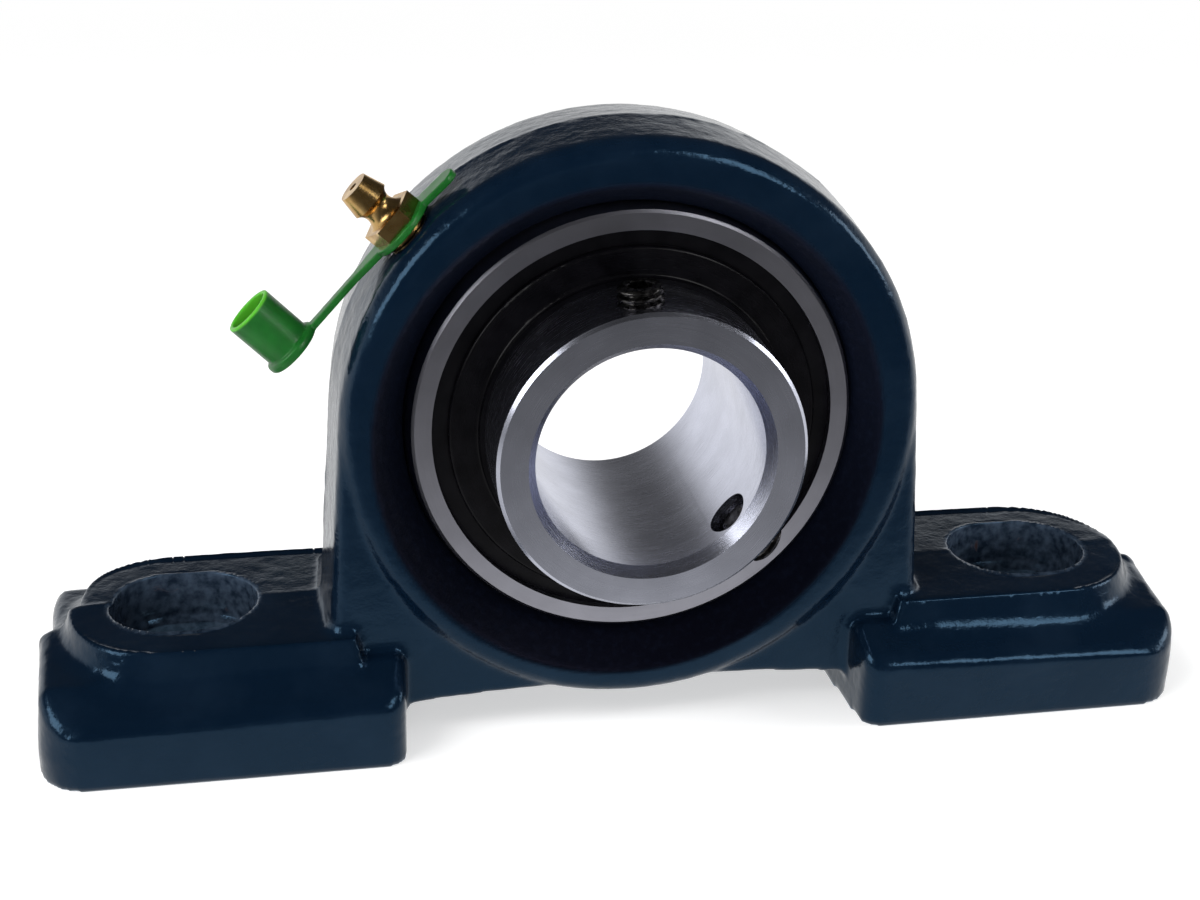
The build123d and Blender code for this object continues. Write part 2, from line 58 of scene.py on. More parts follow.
crown_radius = 39.8 * mm
seat_radius = 31.03 * mm
ring_half_width = 9.5 * mm
recess_radius = 31.7 * mm
recess_slope = tan(radians(35))
core_shift = 0.8 * mm
bolt_x = 60.5 * mm
slot_half_length = 10.0 * mm
slot_half_width = 8.5 * mm
boss_top = 16.7 * mm
boss_half_width = 14.2 * mm
boss_end_x = 62.1 * mm
foot_half_depth = 20.2 * mm
foot_root_x = 28.3 * mm
bank_height = 0.7 * mm
right_edge_fall = 2.4 * mm
left_edge_fall = 2.9 * mm
left_end_lean = 0.7 * mm
right_end_lean = 0.4 * mm
mould_mismatch = 1.2 * mm
swell_height, swell_size = 0.07 * mm, 11 * mm
ripple_height, ripple_size = 0.035 * mm, 2.8 * mm
grit_height, grit_size = 0.035 * mm, 1.25 * mm
flash_height, flash_size = 0.16 * mm, 4 * mm
end_flash_height = 0.7 * mm
boss_lean = 0.045
slot_ledge = 9.7 * mm
ledge_width = 0.6 * mm
nipple_angle = radians(138)
nipple_out = Vector((cos(nipple_angle), 0, sin(nipple_angle)))
nipple_foot = Vector((0, -4.5 * mm, shaft_height)) + nipple_out * crown_radius


def fade(value, start, end):
    """0 at start, 1 at end, with a soft curve between."""
    share = min(1.0, max(0.0, (value - start) / (end - start)))
    return share * share * (3 - 2 * share)


def cut_by_tools(place):
    """1 where the casting was machined or is hidden under a machined piece, 0 where it is as cast."""
    from_seat = (place - Vector((0, 0, shaft_height))).length
    in_seat = 1 - fade(from_seat, seat_radius + 0.1 * mm, seat_radius + 0.8 * mm)
    at_nipple = 1 - fade((place - nipple_foot).length, 6 * mm, 9 * mm)
    at_base = 1 - fade(place.z, 0.1 * mm, 0.6 * mm)
    return max(in_seat, at_nipple, at_base)


def in_recess(place):
    """1 on the cored cone about the insert, 0 on the face of the casting."""
    rim = recess_radius + (abs(place.y) - ring_half_width) * recess_slope
    return 1 - fade(hypot(place.x + core_shift, place.z - shaft_height), rim + 0.1 * mm, rim + 0.7 * mm)


def in_slot(place):
    """1 on the walls of a bolt slot, 0 outside it."""
    along = max(0.0, abs(abs(place.x) - bolt_x) - (slot_half_length - slot_half_width))
    return 1 - fade(hypot(along, place.y), slot_half_width + 0.1 * mm, slot_half_width + 0.7 * mm)


def share_between(value, start, end):
    """0 at start, 1 at end, straight between."""
    return min(1.0, max(0.0, (value - start) / (end - start)))


def foot_shape(place):
    """The feet fall away from the bosses to their long edges, and the moulds met a little out of line."""
    across = abs(place.y)
    from_boss = hypot(max(0.0, abs(place.x) - boss_end_x), across) - boss_half_width
    on_foot = fade(abs(place.x), foot_root_x, foot_root_x + 1.7 * mm)
    bank = bank_height * (1 - share_between(from_boss, 0.8 * mm, 3.3 * mm))
    bank *= share_between(from_boss, -2.5 * mm, -0.5 * mm) * fade(abs(place.x), 38 * mm, 44 * mm)
    bank *= share_between(place.z, 9 * mm, 13 * mm) * (1 - share_between(place.z, 13.7 * mm, 15.6 * mm))
    fall = right_edge_fall if place.x > 0 else left_edge_fall
    fall *= share_between(across, boss_half_width - 0.2 * mm, foot_half_depth - 0.9 * mm)
    fall *= share_between(place.z, 4 * mm, 11 * mm)
    end_lean = left_end_lean * fade(place.z, 3 * mm, 12 * mm) * fade(-place.x, 68 * mm, 78 * mm)
    end_lean -= right_end_lean * fade(place.z, 5 * mm, 12 * mm) * fade(place.x, 70 * mm, 79 * mm)
    mismatch = mould_mismatch * fade(place.y, 0, 0.5 * mm) * (1 - fade(place.y, 2 * mm, 12 * mm))
    mismatch *= fade(-place.x, 66 * mm, 76 * mm)
    return Vector((end_lean + mismatch, 0, (bank - fall) * on_foot))


def cast_relief(place, out):
    """How far the sand, the flash, the core's edge and the lean of the boss tops move the skin."""
    swell = swell_height * noise.noise(place / swell_size)
    ripple = ripple_height * noise.noise(place / ripple_size + Vector((7, 3, 1)))
    grit = grit_height * noise.noise(place / grit_size + Vector((2, 9, 4)))
    sideways = 1 - fade(abs(out.y), 0.25, 0.5)
    ragged = 0.3 + 0.9 * noise.noise(place / flash_size + Vector((4, 4, 8)))
    at_end = fade(place.x, 77 * mm, 79.5 * mm) * fade(place.z, 10 * mm, 12.5 * mm)
    height = flash_height + end_flash_height * at_end
    flash = height * sideways * max(0.0, ragged) * (1 - fade(abs(place.y), 0.1 * mm, (0.6 + at_end) * mm))
    on_boss = fade(out.z, 0.8, 0.95) * fade(place.z, boss_top - 1 * mm, boss_top - 0.5 * mm)
    on_boss *= 1 - fade(place.z, boss_top + 0.5 * mm, boss_top + 1 * mm)
    lean = -boss_lean * abs(place.y) * on_boss
    ledge = ledge_width * in_slot(place) * (1 - fade(place.z, slot_ledge - 0.3 * mm, slot_ledge + 0.2 * mm))
    return swell + ripple + grit + flash + lean + ledge


skin_mesh_size = 0.5 * mm
skin = bpy.data.objects.new("casting", node["housing"].data.copy())
bpy.context.scene.collection.objects.link(skin)
remesh = skin.modifiers.new("even_mesh", "REMESH")
remesh.mode = "VOXEL"
remesh.voxel_size = skin_mesh_size
soften = skin.modifiers.new("soft_edges", "SMOOTH")
soften.factor = 0.5
soften.iterations = 3
even = bpy.data.meshes.new_from_object(skin.evaluated_get(bpy.context.evaluated_depsgraph_get()))
skin.modifiers.clear()
skin.data = even
bare_iron = even.attributes.new("bare_iron", "FLOAT", "POINT")
cored = even.attributes.new("cored", "FLOAT", "POINT")
milled = even.attributes.new("milled", "FLOAT", "POINT")
casting_box = [tuple(corner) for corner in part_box("housing")]
for point, normal in zip(even.vertices, even.vertex_normals):
    place = point.co.copy()
    milled.data[point.index].value = 1 - fade(place.z, 0.05 * mm, 0.35 * mm)
    bare_iron.data[point.index].value = in_slot(place)
    cored.data[point.index].value = in_recess(place)
    relief = foot_shape(place) + normal.vector * cast_relief(place, normal.vector)
    moved = place + relief * (1 - cut_by_tools(place))
    point.co = [min(high, max(low, where)) for where, low, high in zip(moved, *casting_box)]
even.polygons.foreach_set("use_smooth", [True] * len(even.polygons))

enamel_blue = (0.0018, 0.0070, 0.0175, 1)
enamel_thin = (0.0040, 0.0110, 0.0240, 1)
# Painted shade and painted light for the cored recess: darker towards its bottom, lighter towards its top.
recess_painted_shade = (0.0012, 0.0016, 0.0038, 1)
recess_painted_light = (0.0055, 0.0085, 0.0190, 1)
enamel_sheen = (0.33, 0.65, 1.0, 1)
core_sheen = (0.10, 0.09, 0.16, 1)
slot_grey = (0.055, 0.080, 0.120, 1)
rusty_iron = (0.050, 0.022, 0.018, 1)
milled_iron = (0.32, 0.31, 0.30, 1)


def new_material(name):
    """A material with its node tree and shader ready to use."""
    material = bpy.data.materials.new(name)
    material.use_nodes = True
    tree = material.node_tree
    return material, tree, tree.nodes["Principled BSDF"]


def add(tree, kind, inputs=None, **settings):
    """Adds a node, sets its options, and sets or links its inputs."""
    made = tree.nodes.new(kind)
    for name, value in settings.items():
        setattr(made, name, value)
    for name, value in (inputs or {}).items():
        if isinstance(value, bpy.types.NodeSocket):
            tree.links.new(value, made.inputs[name])
        else:
            made.inputs[name].default_value = value
    return made


def noise_at(tree, size, detail=3.0, place=None, **inputs):
    """Noise with features of the given size in metres, as a factor."""
    where = place or add(tree, "ShaderNodeTexCoord").outputs["Object"]
    made = add(tree, "ShaderNodeTexNoise", {"Vector": where, "Scale": 1 / size, "Detail": detail, **inputs})
    return made.outputs["Fac"]


def ramp(tree, factor, stops):
    """Colours along a factor, as (place, colour) pairs."""
    made = add(tree, "ShaderNodeValToRGB", {"Fac": factor})
    while len(made.color_ramp.elements) < len(stops):
        made.color_ramp.elements.new(1)
    for element, (place, colour) in zip(made.color_ramp.elements, stops):
        element.position = place
        element.color = colour if len(colour) == 4 else (*colour, 1)
    return made.outputs["Color"]


def grey(value):
    """A grey for a ramp that carries a number."""
    return (value, value, value, 1)


def product(tree, first, second):
    """Two factors multiplied."""
    return add(tree, "ShaderNodeMath", {0: first, 1: second}, operation="MULTIPLY").outputs[0]


def mix_colour(tree, factor, first, second):
    """Mixes two colours or colour sockets by a factor."""
    made = tree.nodes.new("ShaderNodeMix")
    made.data_type = "RGBA"
    for name, value in (("Factor", factor), ("A", first), ("B", second)):
        socket = [s for s in made.inputs if s.name == name and s.type in ("RGBA", "VALUE") and s.enabled][0]
        if isinstance(value, bpy.types.NodeSocket):
            tree.links.new(value, socket)
        else:
            socket.default_value = value
    return [s for s in made.outputs if s.type == "RGBA"][0]


def bump(tree, shader, layers):
    """Chains bump layers, each (height, distance in metres, strength), onto a shader."""
    normal = None
    for height, distance, strength in layers:
        made = add(tree, "ShaderNodeBump", {"Height": height, "Distance": distance, "Strength": strength})
        if normal:
            tree.links.new(normal, made.inputs["Normal"])
        normal = made.outputs["Normal"]
    tree.links.new(normal, shader.inputs["Normal"])


enamel, tree, shader = new_material("blue_enamel")
slotted = add(tree, "ShaderNodeAttribute", attribute_name="bare_iron").outputs["Fac"]
in_core = add(tree, "ShaderNodeAttribute", attribute_name="cored").outputs["Fac"]
under = add(tree, "ShaderNodeAttribute", attribute_name="milled").outputs["Fac"]
flow = noise_at(tree, 9 * mm, 4.0)
grit = noise_at(tree, 0.8 * mm, 4.0)
paint = mix_colour(tree, ramp(tree, flow, [(0.45, grey(0)), (0.75, grey(1))]), enamel_blue, enamel_thin)
here = add(tree, "ShaderNodeTexCoord").outputs["Object"]
height = add(tree, "ShaderNodeSeparateXYZ", {0: here}).outputs["Z"]
# Painted shade in the cored recess: its colour runs from dark at the bottom to lighter at the top, with
# speckles mixed in.
painted_shade_span = {"Value": height, "From Min": 8 * mm, "From Max": 78 * mm}
painted_shade_rise = add(tree, "ShaderNodeMapRange", painted_shade_span).outputs["Result"]
speckles = ramp(tree, noise_at(tree, 0.9 * mm), [(0.50, grey(0)), (0.72, grey(1))])
speckled_recess_shading = mix_colour(tree, speckles, recess_painted_shade, recess_painted_light)
recess_painted_shading = mix_colour(tree, painted_shade_rise, recess_painted_shade, recess_painted_light)
recess_painted_shading = mix_colour(tree, 0.25, recess_painted_shading, speckled_recess_shading)
paint = mix_colour(tree, in_core, paint, recess_painted_shading)
thin_paint = ramp(tree, noise_at(tree, 1.3 * mm, 6.0), [(0.34, grey(0.15)), (0.66, grey(1))])
paint = mix_colour(tree, product(tree, slotted, thin_paint), paint, slot_grey)
rust_spots = ramp(tree, noise_at(tree, 3.4 * mm, 6.0, Distortion=0.6), [(0.66, grey(0)), (0.72, grey(1))])
paint = mix_colour(tree, product(tree, slotted, rust_spots), paint, rusty_iron)
tree.links.new(mix_colour(tree, under, paint, milled_iron), shader.inputs["Base Color"])
gloss = ramp(tree, grit, [(0.30, grey(0.12)), (0.70, grey(0.20))])
gloss = mix_colour(tree, in_core, gloss, grey(0.45))
gloss = mix_colour(tree, product(tree, slotted, rust_spots), gloss, grey(0.75))
tree.links.new(mix_colour(tree, under, gloss, grey(0.42)), shader.inputs["Roughness"])
tree.links.new(under, shader.inputs["Metallic"])
shader.inputs["IOR"].default_value = 1.45
tree.links.new(mix_colour(tree, in_core, enamel_sheen, core_sheen), shader.inputs["Specular Tint"])
fine_sand = noise_at(tree, 0.38 * mm, 2.0)
bump(tree, shader, [(flow, 0.06 * mm, 0.5), (grit, 0.06 * mm, 0.6), (fine_sand, 0.03 * mm, 0.7)])
skin.data.materials.clear()
skin.data.materials.append(enamel)
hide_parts("housing")
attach(skin, "housing")

# ---- Outer ring ----
# The insert's outer ring is bearing steel, turned, hardened and ground. Its flat faces keep the fine
# circles of the grinding wheel, and its outside is a sphere that swivels in the casting's seat.
steel_grey = (0.45, 0.45, 0.51)


def round_shaft(tree):
    """Coordinates about the shaft: out from it, along it, and round it."""
    split = add(tree, "ShaderNodeSeparateXYZ", {0: add(tree, "ShaderNodeTexCoord").outputs["Object"]})
    heights = {0: split.outputs["Z"], 1: shaft_height}
    above = add(tree, "ShaderNodeMath", heights, operation="SUBTRACT").outputs[0]
    flat = add(tree, "ShaderNodeCombineXYZ", {"X": split.outputs["X"], "Y": above})
    out = add(tree, "ShaderNodeVectorMath", {0: flat.outputs[0]}, operation="LENGTH").outputs["Value"]
    turn = add(tree, "ShaderNodeMath", {0: above, 1: split.outputs["X"]}, operation="ARCTAN2").outputs[0]
    return out, split.outputs["Y"], turn


def ground_steel(name, colour, rough, line_depth):
    """Steel with the fine circular lines that turning and grinding leave."""
    material, tree, shader = new_material(name)
    out, along, turn = round_shaft(tree)
    around = product(tree, turn, 0.6 * mm)
    lined = add(tree, "ShaderNodeCombineXYZ", {"X": out, "Y": along, "Z": around}).outputs[0]
    lines = noise_at(tree, 0.16 * mm, 2.0, lined)
    stain = noise_at(tree, 6 * mm, 4.0)
    dull = [c * 0.84 for c in colour]
    shade = ramp(tree, stain, [(0.35, dull), (0.65, colour)])
    worn_lines = product(tree, ramp(tree, lines, [(0.3, grey(1)), (0.7, grey(0))]), 0.35)
    tree.links.new(mix_colour(tree, worn_lines, shade, (*dull, 1)), shader.inputs["Base Color"])
    shader.inputs["Metallic"].default_value = 1
    polish = ramp(tree, lines, [(0.2, grey(rough)), (0.8, grey(rough + 0.10))])
    tree.links.new(polish, shader.inputs["Roughness"])
    bump(tree, shader, [(lines, line_depth, 0.35)])
    return material


def dress(material, *names):
    """Gives carried-over pieces their finish."""
    for name in names:
        node[name].data.materials.clear()
        node[name].data.materials.append(material)


dress(ground_steel("satin_ring_steel", steel_grey, 0.30, 0.006 * mm), "outer_ring")

# ---- Inner ring ----
# The inner ring is the same steel with a brighter finish. It is longer at the front, where two set
# screws grip the shaft, and its bore is honed.
bright_steel = (0.65, 0.67, 0.78)
dress(ground_steel("bright_ring_steel", bright_steel, 0.20, 0.004 * mm), "inner_ring")

# ---- Balls and cage ----
# Polished balls run between the rings in a cage of two pressed steel ribbons, riveted together
# between the balls. The seals hide them, and oil darkens the cage.
ball_steel, tree, shader = new_material("polished_ball_steel")
haze = noise_at(tree, 1.5 * mm, 3.0)
ball_colours = [(0.3, (0.55, 0.55, 0.56)), (0.7, (0.66, 0.66, 0.67))]
tree.links.new(ramp(tree, haze, ball_colours), shader.inputs["Base Color"])
shader.inputs["Metallic"].default_value = 1
tree.links.new(ramp(tree, haze, [(0.3, grey(0.06)), (0.7, grey(0.12))]), shader.inputs["Roughness"])
dress(ball_steel, *[f"ball_{number}" for number in range(1, 10)])

cage_steel, tree, shader = new_material("pressed_cage_steel")
oil = noise_at(tree, 2 * mm, 4.0)
oiled_colours = [(0.3, (0.24, 0.21, 0.17)), (0.7, (0.40, 0.38, 0.34))]
tree.links.new(ramp(tree, oil, oiled_colours), shader.inputs["Base Color"])
shader.inputs["Metallic"].default_value = 1
tree.links.new(ramp(tree, oil, [(0.3, grey(0.28)), (0.7, grey(0.45))]), shader.inputs["Roughness"])
bump(tree, shader, [(noise_at(tree, 0.4 * mm, 2.0), 0.01 * mm, 0.4)])
dress(cage_steel, "cage_front", "cage_rear", "cage_rivets")

# ---- Seals ----
# A phosphated steel shield, pressed into the outer ring, carries a rubber lip that rubs on the inner
# ring. A blackened steel slinger, pressed on the inner ring, turns outside it and throws dirt off.
lip_rubber, tree, shader = new_material("seal_rubber")
dust = noise_at(tree, 1.2 * mm, 4.0)
rubber_colours = [(0.4, (0.006, 0.006, 0.007)), (0.8, (0.016, 0.015, 0.015))]
tree.links.new(ramp(tree, dust, rubber_colours), shader.inputs["Base Color"])
tree.links.new(ramp(tree, dust, [(0.3, grey(0.50)), (0.7, grey(0.68))]), shader.inputs["Roughness"])
bump(tree, shader, [(noise_at(tree, 0.3 * mm, 2.0), 0.01 * mm, 0.5)])
dress(lip_rubber, "seal_lip_front", "seal_lip_rear")


def black_pressing(name, dark, light, rough):
    """Pressed sheet with a black finish, and faint rings from the press tool."""
    material, tree, shader = new_material(name)
    out, along, turn = round_shaft(tree)
    around = product(tree, turn, 2 * mm)
    spun = add(tree, "ShaderNodeCombineXYZ", {"X": out, "Y": along, "Z": around}).outputs[0]
    rings = noise_at(tree, 0.5 * mm, 3.0, spun)
    soot = noise_at(tree, 3 * mm, 4.0)
    tree.links.new(ramp(tree, soot, [(0.35, dark), (0.70, light)]), shader.inputs["Base Color"])
    polish = ramp(tree, rings, [(0.3, grey(rough)), (0.7, grey(rough + 0.10))])
    tree.links.new(polish, shader.inputs["Roughness"])
    shader.inputs["IOR"].default_value = 1.25
    bump(tree, shader, [(rings, 0.015 * mm, 0.4), (noise_at(tree, 0.25 * mm, 2.0), 0.01 * mm, 0.4)])
    return material


phosphate_dark = (0.0014, 0.0013, 0.0022)
phosphate_light = (0.0036, 0.0034, 0.0048)
shield_black = black_pressing("phosphated_shield", phosphate_dark, phosphate_light, 0.34)
dress(shield_black, "seal_shield_front", "seal_shield_rear")
oxide_dark = (0.0012, 0.0011, 0.0018)
oxide_light = (0.0032, 0.0030, 0.0042)
slinger_black = black_pressing("blackened_slinger", oxide_dark, oxide_light, 0.22)
dress(slinger_black, "slinger_front", "slinger_rear")

# ---- Set screws ----
# Two hexagon socket set screws with cup points, M6 by 1, rolled and blackened. They stand a little
# proud of the inner ring in their tapped holes, and bite on the shaft when they are tightened.
thread_radius = 3.0 * mm
thread_depth = 0.61 * mm
thread_pitch = 1.0 * mm
screw_length = 6.0 * mm
screw_top = 22.3425 * mm
screw_centre_y = -17.2 * mm
socket_across = 3.0 * mm
socket_depth = 2.2 * mm
cup_radius = 1.5 * mm
crest_share = 0.12
flank_share = 0.63
end_chamfer = 0.35 * mm
point_land = 0.9 * mm
socket_mouth = 1.06
mouth_depth = 0.10 * mm
drill_share = 0.3
drill_point = 0.6 * mm
cup_floor_share = 0.2
cup_depth = 0.6 * mm


def thread_at(depth, turn):
    """Radius of the rolled thread at a depth below the screw's outer end."""
    share = (depth / thread_pitch + turn / (2 * pi)) % 1.0
    slope = min(1.0, max(0.0, (abs(share - 0.5) * 2 - crest_share) / flank_share))
    radius = thread_radius - thread_depth * (1 - slope)
    at_socket = thread_radius - end_chamfer + depth
    at_point = cup_radius + point_land + screw_length - depth
    return min(radius, at_socket, at_point)


def set_screw(name, angle):
    """A threaded screw in its hole, at an angle about the shaft."""
    sides = 72
    steps = 96
    mesh = bmesh.new()
    turns = [2 * pi * side / sides for side in range(sides)]
    rings = []
    for step in range(steps + 1):
        depth = screw_length * step / steps
        radii = [thread_at(depth, turn) for turn in turns]
        rings.append([mesh.verts.new((r * cos(t), r * sin(t), -depth)) for r, t in zip(radii, turns)])
    hexagon = []
    for turn in turns:
        reach = socket_across / 2 / cos((turn % (pi / 3)) - pi / 6)
        hexagon.append((reach * cos(turn), reach * sin(turn)))
    cup = [(cup_radius * cos(turn), cup_radius * sin(turn)) for turn in turns]

    def ring_of(outline, scale, height):
        return [mesh.verts.new((scale * x, scale * y, height)) for x, y in outline]

    mouth = ring_of(hexagon, socket_mouth, 0)
    wall_top = ring_of(hexagon, 1, -mouth_depth)
    wall_foot = ring_of(hexagon, 1, -socket_depth)
    socket_end = ring_of(hexagon, drill_share, -socket_depth - drill_point)
    cup_rim = ring_of(cup, 1, -screw_length)
    cup_end = ring_of(cup, cup_floor_share, -screw_length + cup_depth)
    stack = [socket_end, wall_foot, wall_top, mouth, *rings, cup_rim, cup_end]
    for upper, lower in zip(stack, stack[1:]):
        for side in range(sides):
            after = (side + 1) % sides
            mesh.faces.new((upper[side], lower[side], lower[after], upper[after]))
    mesh.faces.new(socket_end)
    mesh.faces.new(reversed(cup_end))
    bmesh.ops.recalc_face_normals(mesh, faces=mesh.faces)
    data = bpy.data.meshes.new(name)
    mesh.to_mesh(data)
    mesh.free()
    outward = Vector((cos(angle), 0, sin(angle)))
    along = Vector((0, 1, 0))
    place = Matrix((along.cross(outward), along, outward)).transposed().to_4x4()
    place.translation = Vector((0, screw_centre_y, shaft_height)) + outward * screw_top
    data.transform(place)
    data.shade_smooth()
    data.set_sharp_from_angle(angle=radians(40))
    screw = bpy.data.objects.new(name, data)
    bpy.context.scene.collection.objects.link(screw)
    return screw


black_oxide, tree, shader = new_material("black_oxide_screw")
wear = noise_at(tree, 0.7 * mm, 4.0)
worn_colours = [(0.4, (0.045, 0.043, 0.045)), (0.75, (0.16, 0.155, 0.15))]
tree.links.new(ramp(tree, wear, worn_colours), shader.inputs["Base Color"])
shader.inputs["Metallic"].default_value = 1
tree.links.new(ramp(tree, wear, [(0.3, grey(0.22)), (0.7, grey(0.36))]), shader.inputs["Roughness"])
top_screw_angle = radians(94)
screw_spacing = radians(135)
for name, node_name, body, angle in (
    ("threaded_screw_top", "set_screw_top", "top_screw", top_screw_angle),
    ("threaded_screw_side", "set_screw_side", "side_screw", top_screw_angle - screw_spacing),
):
    screw = set_screw(name, angle)
    screw.data.materials.append(black_oxide)
    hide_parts(node_name)
    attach(screw, body)

# ---- Grease nipple ----
# The nipple is turned brass, screwed into the casting over the ring of the dust cap. A spring holds
# a small steel ball against the inlet from inside, and shortens when a grease gun pushes the ball in.
turned_brass, tree, shader = new_material("turned_brass")
tarnish = noise_at(tree, 1.6 * mm, 5.0)
brass_colours = [(0.35, (0.42, 0.25, 0.085)), (0.70, (0.68, 0.45, 0.18))]
tree.links.new(ramp(tree, tarnish, brass_colours), shader.inputs["Base Color"])
shader.inputs["Metallic"].default_value = 1
tree.links.new(ramp(tree, tarnish, [(0.3, grey(0.30)), (0.7, grey(0.20))]), shader.inputs["Roughness"])
bump(tree, shader, [(noise_at(tree, 0.25 * mm, 3.0), 0.012 * mm, 0.5)])
dress(turned_brass, "nipple_body")
dress(ball_steel, "nipple_ball")
spring = bpy.data.objects.new("pressed_spring", node["nipple_spring"].data.copy())
bpy.context.scene.collection.objects.link(spring)
spring.data.materials.clear()
spring.data.materials.append(cage_steel)
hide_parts("nipple_spring")
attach(spring, "housing")
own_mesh(spring)

# ---- Dust cap ----
# Ring, tab, strap and cup are one moulding in soft green polyethylene, with round edges from the
# mould. Light comes through its wall, and the inside and rim of the cup are coloured a lighter green
# as a painted glow of that light. Its tab leans a little down to the casting.
tab_start = 4.6 * mm
tab_shortening = 0.80
tab_lean = tan(radians(4))
cup_lean = radians(3)
ring_lift = 0.06 * mm
strap_reach = 21.2 * mm
cup_bore_radius = 2.95 * mm
cup_floor_height = 1.0 * mm
cup_rim_height = 7.6 * mm
cap_mesh_size = 0.16 * mm
moulding = bpy.data.objects.new("moulded_dust_cap", node["dust_cap"].data.copy())
bpy.context.scene.collection.objects.link(moulding)
remesh = moulding.modifiers.new("even_mesh", "REMESH")
remesh.mode = "VOXEL"
remesh.voxel_size = cap_mesh_size
soften = moulding.modifiers.new("round_edges", "SMOOTH")
soften.factor = 0.5
soften.iterations = 3
moulded = bpy.data.meshes.new_from_object(moulding.evaluated_get(bpy.context.evaluated_depsgraph_get()))
moulding.modifiers.clear()
moulding.data = moulded
tab_way = Vector((sin(nipple_angle), 0, -cos(nipple_angle)))
for point in moulded.vertices:
    reach = (point.co - nipple_foot).dot(tab_way) - tab_start
    if reach > 0:
        point.co -= tab_way * reach * (1 - tab_shortening) + nipple_out * reach * tab_shortening * tab_lean
cup_way = nipple_out * cos(cup_lean) + tab_way * sin(cup_lean)
cup_centre = nipple_foot + nipple_out * ring_lift - tab_way * strap_reach
# Painted glow: the inside and rim of the cup are marked for a lighter green that stands in for light coming
# through the wall.
cup_painted_glow = moulded.attributes.new("cup_painted_glow", "FLOAT", "POINT")
for point in moulded.vertices:
    reach = point.co - cup_centre
    along = reach.dot(cup_way)
    off_axis = (reach - cup_way * along).length
    inside = 1 - fade(off_axis, cup_bore_radius, cup_bore_radius + 0.25 * mm)
    inside *= fade(along, cup_floor_height, cup_floor_height + 0.3 * mm)
    on_rim = fade(along, cup_rim_height, cup_rim_height + 0.4 * mm)
    cup_painted_glow.data[point.index].value = max(inside, on_rim)
moulded.shade_smooth()
cap_green, tree, shader = new_material("green_polyethylene")
cloud = noise_at(tree, 3 * mm, 3.0)
green = ramp(tree, cloud, [(0.3, (0.006, 0.105, 0.012)), (0.7, (0.010, 0.15, 0.018))])
# The lighter yellow-green is painted light, for light shining through the cup's wall.
painted_glow_green = (0.11, 0.50, 0.03, 1)
painted_glow_mask = add(tree, "ShaderNodeAttribute", attribute_name="cup_painted_glow").outputs["Fac"]
tree.links.new(mix_colour(tree, painted_glow_mask, green, painted_glow_green), shader.inputs["Base Color"])
tree.links.new(ramp(tree, cloud, [(0.3, grey(0.32)), (0.7, grey(0.42))]), shader.inputs["Roughness"])
shader.inputs["Subsurface Weight"].default_value = 0.5
shader.inputs["Subsurface Radius"].default_value = (0.4, 1.0, 0.3)
shader.inputs["Subsurface Scale"].default_value = 0.9 * mm
shader.inputs["IOR"].default_value = 1.45
bump(tree, shader, [(noise_at(tree, 0.6 * mm, 3.0), 0.02 * mm, 0.4)])
moulded.materials.clear()
moulded.materials.append(cap_green)
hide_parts("dust_cap")
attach(moulding, "cap")

# ---- Studio ----
# A pale table that runs on behind as a white sweep, in a room that is dark in front and above. Three
# soft lamps light the bearing, and three soft boxes at the sides draw the highlights along its edges.
table_size = 6.0
table_gap = 0.02 * mm
bpy.ops.mesh.primitive_plane_add(size=table_size, location=(0, 0, -table_gap))
table = bpy.context.object
table.name = "table_top"
pale, tree, shader = new_material("pale_table")
shader.inputs["Base Color"].default_value = (0.80, 0.80, 0.80, 1)
shader.inputs["Roughness"].default_value = 0.9
shader.inputs["Specular IOR Level"].default_value = 0
path = add(tree, "ShaderNodeLightPath")
where = add(tree, "ShaderNodeNewGeometry").outputs["Position"]
depth = add(tree, "ShaderNodeSeparateXYZ", {0: where}).outputs["Y"]
sweep_span = {"Value": depth, "From Min": -0.25, "From Max": 0.05}
along = add(tree, "ShaderNodeMapRange", sweep_span).outputs["Result"]
sweep_greys = ((0.0, 0.08), (0.23, 0.13), (0.47, 0.22), (0.60, 0.34), (0.68, 0.80), (1.0, 1.0))
sweep = ramp(tree, along, [(place, grey(level)) for place, level in sweep_greys])
mirrored = add(tree, "ShaderNodeEmission", {"Color": sweep, "Strength": 1.0})
white = add(tree, "ShaderNodeEmission", {"Color": (1, 1, 1, 1), "Strength": 1.0})
lit = add(tree, "ShaderNodeEmission", {"Color": (1, 1, 1, 1), "Strength": 0.50})
both = add(tree, "ShaderNodeAddShader", {0: shader.outputs[0], 1: lit.outputs[0]})
spot = add(tree, "ShaderNodeVectorMath", {0: where}, operation="LENGTH").outputs["Value"]
away = add(tree, "ShaderNodeMapRange", {"Value": spot, "From Min": 0.2, "From Max": 0.6}).outputs["Result"]
both = add(tree, "ShaderNodeMixShader", {0: away, 1: both.outputs[0], 2: white.outputs[0]})
seen = shader
for ray, shown in (("Is Camera Ray", both), ("Is Glossy Ray", mirrored), ("Is Transmission Ray", white)):
    seen = add(tree, "ShaderNodeMixShader", {0: path.outputs[ray], 1: seen.outputs[0], 2: shown.outputs[0]})
tree.links.new(seen.outputs[0], tree.nodes["Material Output"].inputs["Surface"])
table.data.materials.append(pale)

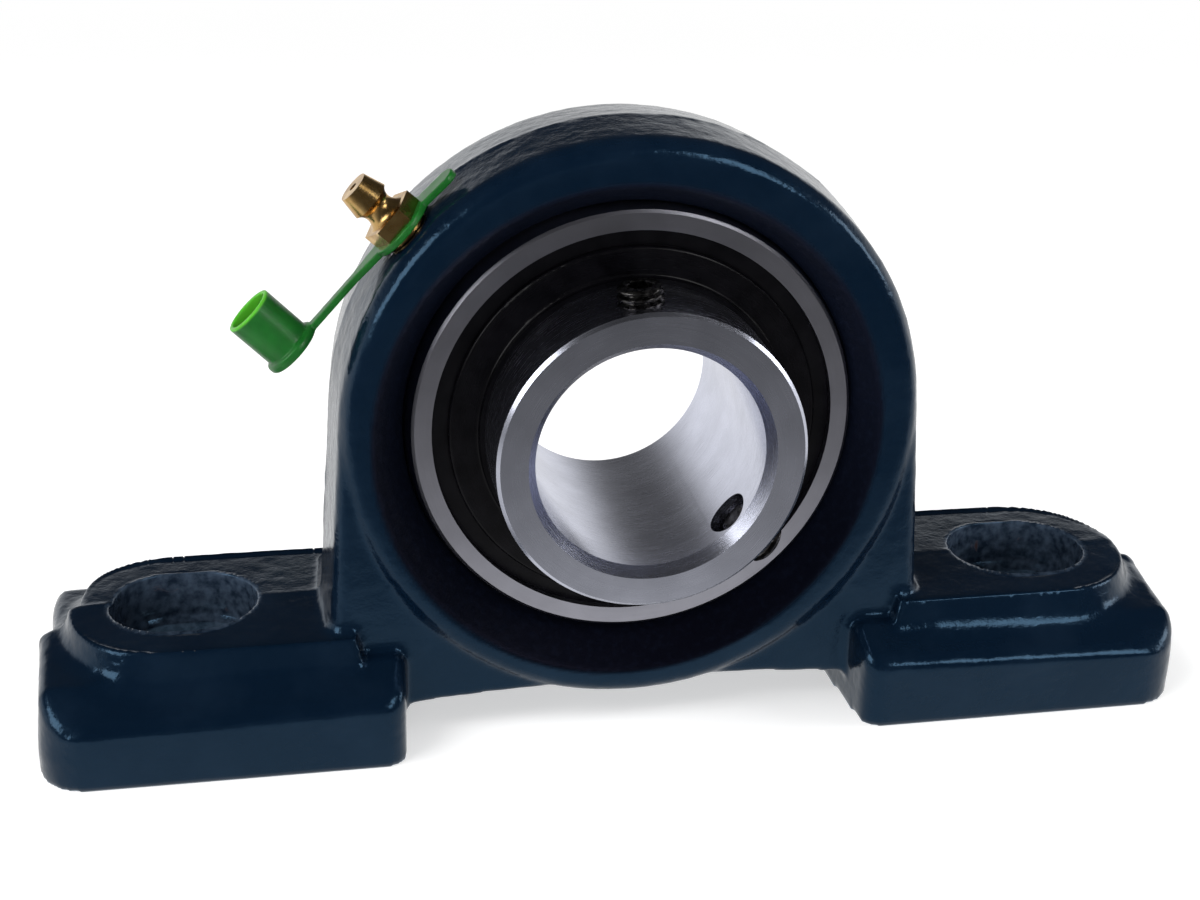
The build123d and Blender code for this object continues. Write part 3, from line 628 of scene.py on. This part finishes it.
world = bpy.data.worlds.new("studio")
bpy.context.scene.world = world
world.use_nodes = True
tree = world.node_tree
back = tree.nodes["Background"]
toward = add(tree, "ShaderNodeTexCoord").outputs["Generated"]
split = add(tree, "ShaderNodeSeparateXYZ", {0: toward})
low_greys = ((0.10, 1.0), (0.27, 0.65), (0.33, 0.30), (0.40, 0.05))
low = ramp(tree, split.outputs["Z"], [(place, grey(level)) for place, level in low_greys])
back_share = add(tree, "ShaderNodeMath", {0: split.outputs["Y"], 1: 1.0}, operation="ADD").outputs[0]
behind = ramp(tree, back_share, [(0.6, grey(0.06)), (1.0, grey(1.0))])
room = mix_colour(tree, behind, grey(0.04), low)
path = add(tree, "ShaderNodeLightPath")
soft = mix_colour(tree, path.outputs["Is Diffuse Ray"], room, grey(0.32))
soft = mix_colour(tree, path.outputs["Is Transmission Ray"], soft, grey(1.0))
shown = mix_colour(tree, path.outputs["Is Camera Ray"], soft, grey(1.0))
tree.links.new(shown, back.inputs["Color"])
back.inputs["Strength"].default_value = 1


def soft_lamp(name, place, width, height, watts, mirrored):
    """A rectangular soft box that shines on the bearing, either spread over it or as a highlight."""
    data = bpy.data.lights.new(name, "AREA")
    data.shape = "RECTANGLE"
    data.size = width
    data.size_y = height
    data.energy = watts
    lamp = bpy.data.objects.new(name, data)
    bpy.context.scene.collection.objects.link(lamp)
    lamp.location = place
    lamp.rotation_mode = "QUATERNION"
    lamp.rotation_quaternion = (Vector((0, 0, shaft_height)) - Vector(place)).to_track_quat("-Z", "Y")
    lamp.visible_glossy = mirrored
    lamp.visible_diffuse = not mirrored


soft_lamp("upper_left_lamp", (-0.55, -0.25, 0.70), 0.5, 0.5, 4.6, False)
soft_lamp("right_lamp", (0.75, -0.10, 0.45), 0.4, 0.5, 2.4, False)
soft_lamp("low_front_lamp", (-0.05, -0.95, 0.17), 0.6, 0.3, 4.2, False)
soft_lamp("left_soft_box", (-0.74, -0.30, 0.42), 0.35, 0.45, 2.4, True)
soft_lamp("right_soft_box", (0.45, -0.58, 0.52), 0.30, 0.30, 1.5, True)
soft_lamp("far_right_soft_box", (0.83, -0.15, 0.31), 0.30, 0.30, 1.2, True)

camera_data = bpy.data.cameras.new("camera")
camera = bpy.data.objects.new("camera", camera_data)
bpy.context.scene.collection.objects.link(camera)
camera_data.sensor_width = 36
camera_data.lens = 54.28
camera_data.clip_start = 10 * mm
camera.location = (-47.1 * mm, -226.4 * mm, 134.0 * mm)
elevation = radians(23.08)
azimuth = radians(11.08)
roll = radians(1.34)
forward = Vector((sin(azimuth) * cos(elevation), cos(azimuth) * cos(elevation), -sin(elevation)))
level = forward.cross(Vector((0, 0, 1))).normalized()
down = forward.cross(level)
right = level * cos(roll) - down * sin(roll)
down = level * sin(roll) + down * cos(roll)
camera.rotation_mode = "QUATERNION"
camera.rotation_quaternion = Matrix((right, -down, -forward)).transposed().to_quaternion()
bpy.context.scene.camera = camera
bpy.context.scene.view_settings.view_transform = "Standard"
